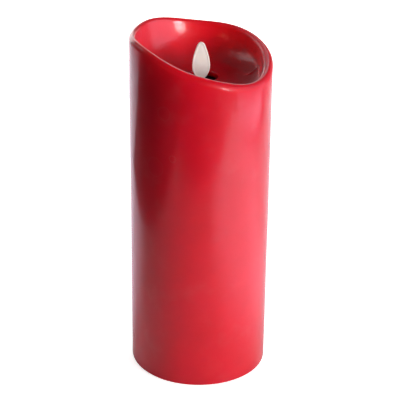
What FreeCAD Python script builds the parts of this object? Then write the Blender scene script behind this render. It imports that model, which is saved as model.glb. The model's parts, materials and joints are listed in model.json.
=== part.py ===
import FreeCAD, Part
import math
import os

# Flameless LED pillar candle with a moving flame.
#
# A red wax shell with a melted, sloping rim stands over a black plastic liner. A thin
# plastic flame hangs on a wire below the hole in the bowl, so that it sways and nods. A
# magnet at its foot hangs over a coil, and an LED shines up at it from the front. Two
# D cells stand in the base, over a hinged door, with a three-position slide switch.
#
# Frame: millimetres, +Z up, origin at the centre of the base, -Y is the front.
# Every piece is a separate solid, written to parts/NAME.step.

V = FreeCAD.Vector

# ---- wax shell -----------------------------------------------------------------------------------
wax_t = 6.3                   # wall of the wax over the liner
rim_mean_z = 215.6            # mean height of the rim's crest
# waves of the melted rim: count round the candle, height, angle of a crest in degrees
rim_waves = [(1, 10.1, 147.4), (2, 2.6, 42.9), (3, 0.75, 17.9), (4, 0.5, 37.8), (5, 0.44, -4.6)]
rim_t = 4.4                   # thickness of the rounded rim
bowl_floor_z = 196.8          # bowl at the edge of the flame hole
bowl_floor_t = 3.2            # wax under the bowl there
bowl_power = 3.0              # how square the bowl's corner is
bowl_middle_r = 6.0           # flat middle of the bowl, inside the flame hole
flame_hole_r = 10.4
foot_chamfer = 0.8
wax_foot_gap = 0.4            # the wax clears the table, the plastic base stands on it

# ---- cells ---------------------------------------------------------------------------------------
cell_d = 33.2
cell_len = 61.5               # over the positive button
cell_button_d = 9.5
cell_button_h = 1.5
cell_edge_r = 1.2
cell_gap = 0.8                # between the two cells
cell_clear = 0.6              # round each cell in its well

# ---- base, liner and their fits ------------------------------------------------------------------
base_wall = 2.0
well_wall = 1.6
floor_t = 3.6
flange_t = 2.5
liner_clear = 0.2
liner_t = 1.6
liner_top_t = 1.6
liner_hole_margin = 0.6       # the liner's hole is wider than the wax's
wax_clear = 0.15
snap_angles = (90, 210, 330)
snap_z = 40.0
snap_w = 9.0
snap_h = 4.0
snap_bite = 1.1
snap_clear = 0.25
flange_inset = 0.1            # flange inside the liner's outside

# ---- contacts and their carrier ------------------------------------------------------------------
contact_t = 0.4
spring_h = 4.0
spring_wire_d = 1.0
spring_r = 7.0
spring_top_r = 3.4
spring_turns = 3
coil_steps = 16               # points round each turn
cell_touch = 0.15             # spring to cell
contact_w = 15.0
bridge_window_x = 5.6         # half size of the window in the door's contact
bridge_window_y = 3.8
carrier_t = 2.0
carrier_rib_t = 1.4
carrier_rib_h = 3.0
tab_w = 4.0
tab_h = 5.0
slot_clear = 0.25
boss_r = 3.2
boss_gap = 2.0                # from the well's wall to a boss
pilot_r = 1.05
pilot_depth = 9.0

# ---- battery door --------------------------------------------------------------------------------
door_t = 2.0
door_foot_gap = 0.3           # door above the table
door_gap = 0.3                # round the door
door_lip = 1.3                # how far the door laps the floor round the well
hinge_pin_r = 0.7
hinge_clear = 0.08
hinge_end_clear = 0.2
hinge_pin_len = 1.5
hinge_corner = 2.4            # cut off the door's corners beside the pins
latch_w = 10.0
latch_len = 9.0
latch_slit = 0.9
scoop_r = 6.4                 # round finger scoop beside the latch
scoop_depth = 1.6
grip_count = 3                # cross grooves on the latch and on the switch's rib
grip_pitch = 1.6
grip_w = 0.7
grip_depth = 0.4

# ---- slide switch --------------------------------------------------------------------------------
switch_gap = 5.0              # from the well's wall to the switch
switch_travel = 2.0           # each way from OFF
rib_w = 3.0
rib_len = 6.0
rib_foot_gap = 0.7            # thumb rib above the table
rib_clear = 0.3               # round the rib in its slot
slider_t = 1.0
slider_lap = 1.6              # slider beyond its rib, front and rear
slider_lift = 0.05
lever_w = 2.0
lever_len = 3.0               # lever below the bracket
lever_foot_w = 4.0
lever_foot_t = 1.0
fork_play = 0.1
fork_wall = 1.2
fork_h = 2.6
switch_can_w = 13.0
switch_can_d = 6.4
switch_can_h = 4.6
switch_lug_t = 0.5
switch_post_r = 2.0
switch_post_h = 4.8
switch_post_gap = 0.7         # slider to post at the end of its travel
terminal_pitch = 3.5
terminal_h = 3.0
terminal_t = 0.5
terminal_w = 1.8

# ---- screws --------------------------------------------------------------------------------------
screw_r = 1.0
screw_hole_r = 1.5
screw_head_r = 2.4
screw_head_h = 1.6
screw_bite = 6.0
over = 1.0                    # how far a cut runs past the face it opens
small_screw_r = 0.65
small_screw_head_r = 1.6
small_screw_bite = 3.2
small_pilot_r = 0.7
small_hole_r = 1.15
pilot_spare = 1.0             # pilot hole beyond the screw's end

# ---- flame and its pivot -------------------------------------------------------------------------
pivot_drop = 12.8             # pivot below the bowl at the hole
flame_t = 1.6
# right half of the flame's outline: half width, height above the pivot
flame_half = [(2.0, 10.4), (2.7, 12.0), (4.24, 13.9), (5.2, 16.5), (5.53, 19.8),
              (4.98, 24.3), (3.6, 29.4), (2.0, 33.3)]
flame_tip = 35.1
stem_half_w = 2.0
tail_half_w = 4.2
tail_top = 4.6
tail_shoulder = 2.6
tail_bottom = -11.5
pivot_hole_r = 0.9
pivot_wire_r = 0.25
pivot_play = 0.03             # between the wire and the top of the flame's hole
wire_end_gap = 0.6            # from a seat to the wire's bent end
wire_hook = 2.0
magnet_r = 4.0
magnet_t = 3.0
nod_deg = 4.0                 # the wire tips this far in its slots

# ---- drive coil ----------------------------------------------------------------------------------
coil_gap = 3.5                # coil below the magnet
coil_h = 12.0
bobbin_r = 9.0
bobbin_flange_t = 1.0
bobbin_core_r = 3.4
bobbin_bore_r = 2.0
winding_r = 8.4
winding_clear = 0.05
coil_lead_x = 2.2
coil_lead_y = 5.0
cage_clear = 0.15
cage_wall = 1.4
cage_lip = 0.9
cage_lip_t = 0.8

# ---- lamp housing --------------------------------------------------------------------------------
housing_r = 22.0
housing_wall = 1.6
housing_hole_r = 10.0
sink = 0.5                    # how far moulded details run into the wall that carries them
seat_gap = 6.0                # wire posts from the flame's middle plane
seat_t = 2.2
seat_w = 3.0
seat_above = 1.4              # post above the pivot
seat_play = 0.15
shelf_t = 1.6
shelf_drop = 10.0             # shelf's top below the pivot
shelf_w = 13.0
joint_boss_half = 6.0
joint_boss_r = 3.0
joint_boss_sink = 1.4         # how far the bosses sink into the housing's wall
joint_boss_gap = 0.6          # under the ears
joint_boss_rise = 1.0         # over the housing's underside
joint_pilot_floor = 1.2       # left behind a pilot hole
ear_r = 4.0
ear_gap = 2.0                 # from the housing to an ear's round end
ear_t = 2.4
ear_post_h = 6.0
ear_post_r = 3.2

# ---- LED -----------------------------------------------------------------------------------------
led_r = 2.5
led_len = 8.6
led_rim_r = 2.9
led_rim_t = 1.0
led_tilt_deg = 38.0
led_wall_gap = 3.9            # from the housing's wall to the LED's base
led_base_drop = 3.0           # middle of the LED's base below the pivot
led_clear = 0.08
led_socket_wall = 1.5
led_socket_len = 4.6
led_foot_front = 3.4          # the socket's foot, from the LED's base to the rear
led_foot_rear = 2.0
led_leg_r = 0.28
led_leg_clear = 0.35
led_leg_pitch = 2.54
led_leg_stub = 2.4

# ---- control board -------------------------------------------------------------------------------
board_inset = 1.5             # board inside the housing's outline
board_t = 1.6
board_flat = 2.5              # cut off the board's rear edge
board_post_h = 8.0
board_post_r = 3.0
board_post_x = 13.0
board_post_y = 9.0
chip_l = 8.7
chip_w = 3.9
chip_t = 1.5
chip_lift = 0.2
chip_pins = 7                 # on each side
pin_w = 0.4
pin_len = 1.0
pin_t = 0.5
capacitor_r = 2.5
capacitor_h = 7.0
capacitor_places = [(-7.0, -9.0), (9.0, 8.5)]
groove_w = 0.6
groove_depth = 0.2
choke_r = 3.0
choke_h = 3.4
choke_waist = 0.7
choke_flange = 0.9
choke_place = (-6.5, 9.0)
resistor_l = 2.0
resistor_w = 1.25
resistor_t = 0.6
resistor_places = [(-12.0, 2.0), (-12.0, -1.0), (-12.0, -4.0), (1.5, 8.0), (1.5, 11.0), (3.5, -7.5)]

# ---- wiring --------------------------------------------------------------------------------------
lead_d = 1.3
lead_hole_clear = 0.35
lead_hole_x = 7.0             # spread of the three holes in the carrier
lead_hole_gap = 4.0           # from the switch's middle towards the cells
coil_lead_d = 0.5

# ---- worked out from the values above ------------------------------------------------------------
cell_x = (cell_d + cell_gap) / 2
well_r = cell_d / 2 + cell_clear
base_r_in = cell_x + well_r
base_r = base_r_in + base_wall
liner_r_in = base_r + liner_clear
liner_r = liner_r_in + liner_t
wax_bore_r = liner_r + wax_clear
candle_r = wax_bore_r + wax_t
rim_r = rim_t / 2
liner_top_z = bowl_floor_z - bowl_floor_t
liner_under_z = liner_top_z - liner_top_t

door_top_z = door_foot_gap + door_t
door_r = well_r + door_lip                              # end radius of the door's outline
hinge_y = door_r - door_t / 2
hinge_z = door_foot_gap + door_t / 2
bridge_z = door_top_z + contact_t                      # top of the door's contact plate
cell_left_z = bridge_z + spring_h + cell_touch
cell_top_z = cell_left_z + cell_len                    # button of the left cell
cell_right_z = cell_top_z - spring_h                   # flat end of the right cell
carrier_z = cell_top_z + contact_t                     # underside of the carrier
carrier_top_z = carrier_z + carrier_t
tab_x = cell_x + contact_w / 2 - 2 * contact_t          # inner face of a solder tab

boss_x = cell_x
boss_y = well_r + well_wall + boss_gap + boss_r
switch_y = -(well_r + well_wall + switch_gap + switch_can_d / 2)
slot_half = rib_w / 2 + switch_travel + rib_clear
slider_half = slot_half + switch_travel
switch_post_x = slider_half + switch_travel + switch_post_gap + switch_post_r
switch_z = floor_t + switch_post_h                     # underside of the switch's bracket
switch_can_z = switch_z + switch_lug_t                 # top of the bracket

pivot_z = bowl_floor_z - pivot_drop
flame_hole_z = pivot_z + pivot_wire_r + pivot_play - pivot_hole_r
magnet_top_z = pivot_z + tail_bottom
coil_top_z = magnet_top_z - magnet_t - coil_gap
coil_z = coil_top_z - coil_h                           # top of the housing's floor
housing_z = coil_z - housing_wall                      # underside of the housing
shelf_top_z = pivot_z - shelf_drop
ear_z = liner_under_z - ear_post_h                     # top of the housing's ears
board_top_z = housing_z - board_post_h
board_z = board_top_z - board_t
board_r = housing_r - board_inset

led_base_y = housing_wall + led_wall_gap - housing_r
led_dir = V(0, math.sin(math.radians(led_tilt_deg)), math.cos(math.radians(led_tilt_deg)))
led_base = V(0, led_base_y, pivot_z - led_base_drop)
led_bend = led_base - led_dir * led_leg_stub           # where the legs turn straight down
ear_angles = (45, 135, 225, 315)
ear_ring_r = housing_r + ear_gap + ear_r
joint_boss_x = housing_r - joint_boss_sink + joint_boss_r
joint_boss_zs = (ear_z - ear_t - joint_boss_gap - joint_boss_r, housing_z + joint_boss_rise + joint_boss_r)


# ---- shape helpers -------------------------------------------------------------------------------
def rod(r, z0, z1, x=0.0, y=0.0):
    return Part.makeCylinder(r, z1 - z0, V(x, y, z0))


def rod_y(r, y0, y1, x, z):
    return Part.makeCylinder(r, y1 - y0, V(x, y0, z), V(0, 1, 0))


def rod_x(r, x0, x1, y, z):
    return Part.makeCylinder(r, x1 - x0, V(x0, y, z), V(1, 0, 0))


def pipe(r_out, r_in, z0, z1, x=0.0, y=0.0):
    return rod(r_out, z0, z1, x, y).cut(rod(r_in, z0 - over, z1 + over, x, y))


def block(x0, x1, y0, y1, z0, z1):
    return Part.makeBox(x1 - x0, y1 - y0, z1 - z0, V(x0, y0, z0))


def stadium(r, half_len, z0, z1):
    """Prism with two straight sides and two half-round ends."""
    ends = [rod(r, z0, z1, x) for x in (-half_len, half_len)]
    return join(ends + [block(-half_len, half_len, -r, r, z0, z1)])


def revolved(points):
    """Solid of revolution about Z from a closed outline of (r, z) points."""
    outline = [V(r, 0, z) for r, z in points]
    face = Part.Face(Part.makePolygon(outline + [outline[0]]))
    return face.revolve(V(0, 0, 0), V(0, 0, 1), 360)


def join(shapes):
    whole = shapes[0]
    if len(shapes) > 1:
        whole = whole.multiFuse(shapes[1:])
    return whole.removeSplitter()


def take(shape, tools):
    for tool in tools:
        shape = shape.cut(tool)
    return shape


def round_lead(points, d):
    """Lead of diameter d: straight runs through the points, joined by tangent arcs.

    Each arc takes up 0.45 of the shorter run beside it, on either side of its point.
    """
    edges = []
    here = points[0]
    for before, corner, after in zip(points, points[1:], points[2:]):
        a = before - corner
        b = after - corner
        turn = math.pi - a.getAngle(b)
        run = min(a.Length, b.Length)
        reach = 0.45 * run
        start = corner + V(a).normalize() * reach
        end = corner + V(b).normalize() * reach
        middle = (V(a).normalize() + V(b).normalize()).normalize()
        bend_r = reach / math.tan(turn / 2)
        centre = corner + middle * (bend_r / math.cos(turn / 2))
        print("lead bend radius", round(bend_r, 1))
        edges.append(Part.LineSegment(here, start).toShape())
        edges.append(Part.Arc(start, centre - middle * bend_r, end).toShape())
        here = end
    edges.append(Part.LineSegment(here, points[-1]).toShape())
    path = Part.Wire(edges)
    circle = Part.makeCircle(d / 2, points[0], points[1] - points[0])
    return path.makePipeShell([Part.Wire(circle)], True, True)


def screw(r, head_r, length, at, towards):
    """Pan-head screw: the head's underside is at the point, the shank runs the given way."""
    head = Part.makeCylinder(head_r, screw_head_h, at - towards * screw_head_h, towards)
    shank = Part.makeCylinder(r, length, at, towards)
    recess = Part.makeCylinder(head_r / 2, screw_head_h / 2, at - towards * screw_head_h, towards)
    return head.fuse(shank).removeSplitter().cut(recess)


# ---- wax shell -----------------------------------------------------------------------------------
def crest_z(angle):
    """Height of the rim's crest at an angle round the candle, in radians."""
    waves = [a * math.cos(n * (angle - math.radians(at))) for n, a, at in rim_waves]
    return rim_mean_z + sum(waves)


def wax_ring(radius, height, steps=48):
    """Closed smooth ring of one radius, its height a function of the angle."""
    angles = [2 * math.pi * k / steps for k in range(steps)]
    points = [V(radius * math.cos(a), radius * math.sin(a), height(a)) for a in angles]
    curve = Part.BSplineCurve()
    curve.interpolate(Points=points, PeriodicFlag=True, Parameters=[k / steps for k in range(steps + 1)])
    return Part.Wire(curve.toShape())


def rim_rings():
    """The rounded rim, from its outer shoulder over the crest to its inner shoulder."""
    middle = candle_r - rim_r
    for step in range(0, 181, 20):
        turn = math.radians(step)
        rise = rim_r * (math.sin(turn) - 1)
        yield wax_ring(middle + rim_r * math.cos(turn), lambda a, rise=rise: crest_z(a) + rise)


def bowl_rings():
    """The bowl, a superellipse from the rim's inner shoulder down to its flat middle."""
    span = candle_r - rim_t - bowl_middle_r
    for step in range(80, -1, -10):
        turn = math.radians(step)
        out = math.sin(turn) ** (2 / bowl_power)
        up = 1 - math.cos(turn) ** (2 / bowl_power)
        yield wax_ring(bowl_middle_r + span * out,
                       lambda a, up=up: bowl_floor_z + (crest_z(a) - rim_r - bowl_floor_z) * up)


def wax_shell():
    foot = [wax_ring(candle_r - foot_chamfer, lambda a: wax_foot_gap),
            wax_ring(candle_r, lambda a: wax_foot_gap + foot_chamfer)]
    solid = Part.makeLoft(foot + list(rim_rings()) + list(bowl_rings()), True, True)
    bore = rod(wax_bore_r, wax_foot_gap - over, liner_top_z)
    hole = rod(flame_hole_r, liner_top_z - over, bowl_floor_z + over)
    return take(solid, [bore, hole])


# ---- liner ---------------------------------------------------------------------------------------
def ear_points():
    for angle in ear_angles:
        turn = math.radians(angle)
        yield ear_ring_r * math.cos(turn), ear_ring_r * math.sin(turn)


def snap_block(grow, r0, r1):
    """The three snap lugs, or with grow their windows."""
    lugs = []
    for angle in snap_angles:
        half_w = snap_w / 2 + grow
        half_h = snap_h / 2 + grow
        lug = block(r0, r1, -half_w, half_w, snap_z - half_h, snap_z + half_h)
        lugs.append(lug.rotate(V(0, 0, 0), V(0, 0, 1), angle))
    return lugs


def liner_tube():
    tube = pipe(liner_r, liner_r_in, flange_t, liner_top_z)
    top = rod(liner_r, liner_under_z, liner_top_z)
    posts = [rod(ear_post_r, ear_z, liner_top_z, x, y) for x, y in ear_points()]
    pilots = [rod(pilot_r, ear_z - over, liner_under_z, x, y) for x, y in ear_points()]
    hole = rod(flame_hole_r + liner_hole_margin, liner_under_z - over, liner_top_z + over)
    windows = snap_block(snap_clear, liner_r_in - over, liner_r + over)
    return take(join([tube, top] + posts), pilots + [hole] + windows)


# ---- base and battery door -----------------------------------------------------------------------
def boss_points():
    return [(sx * boss_x, sy * boss_y) for sx in (-1, 1) for sy in (-1, 1)]


def base_housing():
    tube = pipe(base_r, base_r_in, 0, carrier_z)
    floor = rod(base_r, 0, floor_t)
    flange = rod(liner_r - flange_inset, 0, flange_t)
    inside = rod(base_r - base_wall / 2, 0, carrier_z)
    walls = []
    for side in (-1, 1):
        y0, y1 = sorted((side * well_r, side * (well_r + well_wall)))
        walls.append(block(-cell_x, cell_x, y0, y1, 0, carrier_z).common(inside))
    bosses = [rod(boss_r, 0, carrier_z, x, y) for x, y in boss_points()]
    posts = [rod(switch_post_r, 0, switch_z, x, switch_y) for x in switch_post_xs()]
    lugs = snap_block(0, base_r - base_wall / 2, base_r + snap_bite)
    body = join([tube, floor, flange] + walls + bosses + posts + lugs)
    well = stadium(well_r, cell_x, -over, carrier_z + over)
    rebate_r = door_r + door_gap
    rebate_z = door_top_z + door_gap / 2
    pin_x = door_edge_x(rebate_r)
    hinge_room = block(-pin_x, pin_x, 0, rebate_r, -over, rebate_z)
    rebate = join([stadium(rebate_r, cell_x, -over, rebate_z), hinge_room])
    slot_y = rib_len / 2 + rib_clear
    slot = block(-slot_half, slot_half, switch_y - slot_y, switch_y + slot_y, -over, floor_t + over)
    scoop = Part.makeSphere(scoop_r, V(0, -door_r, scoop_depth - scoop_r))
    socket_end = hinge_reach() + hinge_end_clear
    sockets = rod_x(hinge_pin_r + hinge_clear, -socket_end, socket_end, hinge_y, hinge_z)
    pilots = [rod(pilot_r, carrier_z - pilot_depth, carrier_z + over, x, y) for x, y in boss_points()]
    pilots += [rod(small_pilot_r, switch_z - small_screw_bite - pilot_spare, switch_z + over, x, switch_y)
               for x in switch_post_xs()]
    return take(body, [well, rebate, slot, scoop, sockets] + pilots)


def door_edge_x(radius):
    """Where the stadium outline of that end radius crosses the hinge line."""
    return cell_x + math.sqrt(radius ** 2 - hinge_y ** 2)


def hinge_reach():
    """Outer end of a hinge pin."""
    return door_edge_x(door_r + door_gap) + hinge_pin_len


def grip_ys(middle):
    """Where the cross grooves of a grip start, spread about the middle."""
    return [middle + grip_pitch * (k - (grip_count - 1) / 2) - grip_w / 2 for k in range(grip_count)]


def battery_door():
    plate = stadium(door_r, cell_x, door_foot_gap, door_top_z)
    reach = cell_x + door_r + over
    straight = block(-reach, reach, -door_r - over, hinge_y, 0, door_top_z + over)
    rounded = rod_x(door_t / 2, -reach, reach, hinge_y, hinge_z)
    plate = plate.common(join([straight, rounded]))
    corner_x = door_edge_x(door_r)
    corners = [block(x0, x1, hinge_y - hinge_corner, door_r + over, 0, door_top_z + over)
               for x0, x1 in ((-reach, -corner_x), (corner_x, reach))]
    plate = take(plate, corners)
    pins = rod_x(hinge_pin_r, -hinge_reach(), hinge_reach(), hinge_y, hinge_z)
    slit_y = -door_r + latch_len
    slits = [block(x - latch_slit / 2, x + latch_slit / 2, -door_r - over, slit_y, 0, door_top_z + over)
             for x in (-latch_w / 2, latch_w / 2)]
    tongue_half = (latch_w - latch_slit) / 2
    grips = [block(-tongue_half, tongue_half, y, y + grip_w, 0, door_foot_gap + grip_depth)
             for y in grip_ys(-door_r + latch_len / 2)]
    return take(join([plate, pins]), slits + grips)


def cone_spring(x, z_wide, rise):
    """Conical spring wound about the cell's axis, its wide coil at z_wide."""
    points = []
    for k in range(spring_turns * coil_steps + 1):
        share = k / (spring_turns * coil_steps)
        angle = 2 * math.pi * spring_turns * share
        r = spring_r + (spring_top_r - spring_r) * share
        points.append(V(x + r * math.cos(angle), r * math.sin(angle), z_wide + rise * share))
    curve = Part.BSplineCurve()
    curve.interpolate(points)
    start = Part.makeCircle(spring_wire_d / 2, points[0], curve.tangent(curve.FirstParameter)[0])
    return Part.Wire(curve.toShape()).makePipeShell([Part.Wire(start)], True, True)


def door_spring():
    half = spring_wire_d / 2
    return cone_spring(-cell_x, bridge_z + half, spring_h - 2 * half)


def door_contact():
    plate = stadium(contact_w / 2, cell_x, door_top_z, bridge_z)
    window = block(-bridge_window_x, bridge_window_x, -bridge_window_y, bridge_window_y, 0, bridge_z + over)
    return plate.cut(window)


def cell(x, z, up):
    """D cell standing on z, its button upwards or downwards."""
    body_len = cell_len - cell_button_h
    body_z = z if up else z + cell_button_h
    can = rod(cell_d / 2, body_z, body_z + body_len, x)
    can = can.makeFillet(cell_edge_r, [e for e in can.Edges if e.Curve.TypeId == "Part::GeomCircle"])
    button_z = z + body_len if up else z
    return can.fuse(rod(cell_button_d / 2, button_z, button_z + cell_button_h, x)).removeSplitter()


# ---- contact carrier -----------------------------------------------------------------------------
def lead_holes():
    """Where the leads pass through the carrier: name to (x, y)."""
    y = switch_y + lead_hole_gap
    return {"common": (-lead_hole_x, y), "on": (0.0, y), "timer": (lead_hole_x, y)}


def tab_box(side, grow):
    """Solder tab of the contact over one cell, or with grow its slot."""
    x0, x1 = sorted((side * tab_x, side * (tab_x + contact_t)))
    z0 = carrier_z - (over if grow else contact_t)
    z1 = carrier_top_z + (over if grow else tab_h)
    return block(x0 - grow, x1 + grow, -tab_w / 2 - grow, tab_w / 2 + grow, z0, z1)


def contact_carrier():
    plate = rod(base_r, carrier_z, carrier_top_z)
    rib = pipe(base_r_in, base_r_in - carrier_rib_t, carrier_top_z, carrier_top_z + carrier_rib_h)
    holes = [rod(screw_hole_r, carrier_z - over, carrier_top_z + over, x, y) for x, y in boss_points()]
    lead_hole_r = lead_d / 2 + lead_hole_clear
    leads = [rod(lead_hole_r, carrier_z - over, carrier_top_z + over, x, y) for x, y in lead_holes().values()]
    slots = [tab_box(side, slot_clear) for side in (-1, 1)]
    return take(join([plate, rib]), holes + leads + slots)


def top_contact(side):
    """Contact plate over one cell, with its solder tab through the carrier."""
    plate = rod(contact_w / 2, carrier_z - contact_t, carrier_z, side * cell_x)
    return join([plate, tab_box(side, 0)])


def negative_spring():
    half = spring_wire_d / 2
    return cone_spring(cell_x, carrier_z - contact_t - half, cell_touch + 2 * half - spring_h)


def carrier_screws():
    down = V(0, 0, -1)
    return [screw(screw_r, screw_head_r, carrier_t + screw_bite, V(x, y, carrier_top_z), down)
            for x, y in boss_points()]


# ---- slide switch --------------------------------------------------------------------------------
def switch_post_xs():
    return (-switch_post_x, switch_post_x)


def centred_block(half_x, half_y, z0, z1):
    """Box about the switch's own middle."""
    return block(-half_x, half_x, switch_y - half_y, switch_y + half_y, z0, z1)


def switch_slider():
    z0 = floor_t + slider_lift
    z1 = z0 + slider_t
    plate = centred_block(slider_half, rib_len / 2 + slider_lap, z0, z1)
    rib = centred_block(rib_w / 2, rib_len / 2, rib_foot_gap, z0)
    fork = lever_w / 2 + fork_play
    prongs = centred_block(fork + fork_wall, lever_w / 2, z1, z1 + fork_h)
    gap = centred_block(fork, lever_w, z1, z1 + fork_h + over)
    grips = [block(-rib_w, rib_w, y, y + grip_w, 0, rib_foot_gap + grip_depth) for y in grip_ys(switch_y)]
    return take(join([plate, rib, prongs]), [gap] + grips)


def switch_lever():
    foot_z = switch_can_z + slider_lift
    stem = centred_block(lever_w / 2, lever_w / 2, switch_z - lever_len, foot_z + lever_foot_t)
    foot = centred_block(lever_foot_w / 2, lever_w, foot_z, foot_z + lever_foot_t)
    return join([stem, foot])


def switch_body():
    z1 = switch_can_z + switch_can_h
    can = centred_block(switch_can_w / 2, switch_can_d / 2, switch_z, z1)
    bracket = centred_block(switch_post_x + switch_post_r, switch_post_r, switch_z, switch_can_z)
    room = centred_block(lever_foot_w / 2 + switch_travel + rib_clear, lever_w + rib_clear,
                         switch_can_z, switch_can_z + lever_foot_t + 2 * rib_clear)
    mouth = centred_block(lever_w / 2 + switch_travel + rib_clear, lever_w / 2 + rib_clear,
                          switch_z - over, switch_can_z + over)
    terminals = []
    for x in (-terminal_pitch, 0, terminal_pitch):
        terminal = centred_block(terminal_t / 2, terminal_w / 2, z1 - terminal_t, z1 + terminal_h)
        terminals.append(terminal.translated(V(x, 0, 0)))
    holes = [rod(small_hole_r, switch_z - over, switch_can_z + over, x, switch_y) for x in switch_post_xs()]
    return take(join([can, bracket] + terminals), [room, mouth] + holes)


def switch_screws():
    return [screw(small_screw_r, small_screw_head_r, switch_lug_t + small_screw_bite,
                  V(x, switch_y, switch_can_z), V(0, 0, -1)) for x in switch_post_xs()]


# ---- flame and pivot -----------------------------------------------------------------------------
def flame_paddle():
    right = [V(w, 0, pivot_z + h) for w, h in flame_half]
    left = [V(-p.x, 0, p.z) for p in reversed(right)]
    top = Part.BSplineCurve()
    top.interpolate(right + [V(0, 0, pivot_z + flame_tip)] + left)
    hip_z = pivot_z + tail_shoulder
    neck_z = pivot_z + tail_top
    foot_z = pivot_z + tail_bottom
    below = [left[-1], V(-stem_half_w, 0, neck_z), V(-tail_half_w, 0, hip_z), V(-tail_half_w, 0, foot_z),
             V(tail_half_w, 0, foot_z), V(tail_half_w, 0, hip_z), V(stem_half_w, 0, neck_z), right[0]]
    edges = [top.toShape()] + [Part.makeLine(a, b) for a, b in zip(below, below[1:])]
    face = Part.Face(Part.Wire(Part.__sortEdges__(edges)))
    sheet = face.extrude(V(0, flame_t, 0))
    sheet.translate(V(0, -flame_t / 2, 0))
    return sheet.cut(rod_y(pivot_hole_r, -flame_t, flame_t, 0, flame_hole_z))


def flame_magnet():
    return rod(magnet_r, magnet_top_z - magnet_t, magnet_top_z)


def pivot_wire():
    hook_z = pivot_z - wire_hook
    y = seat_gap + seat_t + wire_end_gap
    points = [V(0, -y, hook_z), V(0, -y, pivot_z), V(0, y, pivot_z), V(0, y, hook_z)]
    rods = [Part.makeCylinder(pivot_wire_r, (b - a).Length, a, b - a) for a, b in zip(points, points[1:])]
    corners = [Part.makeSphere(pivot_wire_r, p) for p in points[1:3]]
    return join(rods + corners)


# ---- drive coil ----------------------------------------------------------------------------------
def coil_lead_points():
    return [(x, coil_lead_y) for x in (-coil_lead_x, coil_lead_x)]


def coil_bobbin():
    low = rod(bobbin_r, coil_z, coil_z + bobbin_flange_t)
    high = rod(bobbin_r, coil_top_z - bobbin_flange_t, coil_top_z)
    core = rod(bobbin_core_r, coil_z, coil_top_z)
    notch_z = coil_z + bobbin_flange_t + over
    notches = [rod(coil_lead_d, coil_z - over, notch_z, x, y) for x, y in coil_lead_points()]
    return take(join([low, high, core]), [rod(bobbin_bore_r, coil_z - over, coil_top_z + over)] + notches)


def coil_winding():
    low_z = coil_z + bobbin_flange_t
    return pipe(winding_r, bobbin_core_r + winding_clear, low_z, coil_top_z - bobbin_flange_t)


def coil_leads():
    return [rod(coil_lead_d / 2, board_top_z, coil_z + bobbin_flange_t, x, y) for x, y in coil_lead_points()]


# ---- lamp housing --------------------------------------------------------------------------------
def half_space(side):
    """Everything on one side of the split plane: -1 is the front half, 1 the rear."""
    y0, y1 = sorted((0, side * candle_r))
    return block(-candle_r, candle_r, y0, y1, 0, liner_top_z)


def seat_slot():
    """Room for the wire's ends, which lift and drop as the wire nods."""
    reach = seat_gap + seat_t
    half_w = pivot_wire_r + seat_play
    half_h = half_w + reach * math.tan(math.radians(nod_deg))
    return block(-half_w, half_w, -reach - over, reach + over, pivot_z - half_h, pivot_z + half_h)


def led_rod(r, start, length):
    return Part.makeCylinder(r, length, led_base + led_dir * start, led_dir)


def led_leg_xs():
    return (-led_leg_pitch / 2, led_leg_pitch / 2)


def coil_cage():
    r_in = bobbin_r + cage_clear
    lip_z = coil_top_z + cage_clear
    return revolved([(r_in, coil_z), (r_in + cage_wall, coil_z), (r_in + cage_wall, lip_z + cage_lip_t),
                     (r_in - cage_lip, lip_z + cage_lip_t), (r_in - cage_lip, lip_z), (r_in, lip_z)])


def joint_rods(r, y0, y1):
    return [rod_y(r, y0, y1, x, z) for x in (-joint_boss_x, joint_boss_x) for z in joint_boss_zs]


def ear(x, y):
    """Screw ear that reaches out from the housing's wall to the point."""
    web = block(housing_r - housing_wall + sink, ear_ring_r, -ear_r, ear_r, ear_z - ear_t, ear_z)
    web.rotate(V(0, 0, 0), V(0, 0, 1), math.degrees(math.atan2(y, x)))
    return join([web, rod(ear_r, ear_z - ear_t, ear_z, x, y)])


def board_post_point(side):
    return side * -board_post_x, side * board_post_y


def housing_half(side):
    """Front half (-1) or rear half (1) of the lamp housing, before its own details."""
    inner_r = housing_r - housing_wall
    shell = rod(housing_r, housing_z, liner_under_z).cut(rod(inner_r, coil_z, liner_under_z - housing_wall))
    hole = rod(housing_hole_r, coil_top_z, liner_under_z + over)
    y0, y1 = sorted((side * seat_gap, side * housing_r))
    shelf = block(-shelf_w / 2, shelf_w / 2, y0, y1, shelf_top_z - shelf_t, shelf_top_z)
    shelf = shelf.common(rod(inner_r + sink, 0, liner_top_z))
    y0, y1 = sorted((side * seat_gap, side * (seat_gap + seat_t)))
    seat = block(-seat_w / 2, seat_w / 2, y0, y1, shelf_top_z - shelf_t, pivot_z + seat_above)
    bosses = joint_rods(joint_boss_r, -joint_boss_half, joint_boss_half)
    ears = [ear(x, y) for x, y in ear_points()]
    post = rod(board_post_r, board_top_z, housing_z + sink, *board_post_point(side))
    half = join([shell.cut(hole), shelf, seat, coil_cage(), post] + bosses + ears).common(half_space(side))
    holes = [rod(screw_hole_r, ear_z - ear_t - over, ear_z + over, x, y) for x, y in ear_points()]
    holes += [rod(coil_lead_d, housing_z - over, coil_z + over, x, y) for x, y in coil_lead_points()]
    holes.append(rod(pilot_r, board_top_z - over, housing_z, *board_post_point(side)))
    return take(half, [seat_slot()] + holes)


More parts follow.
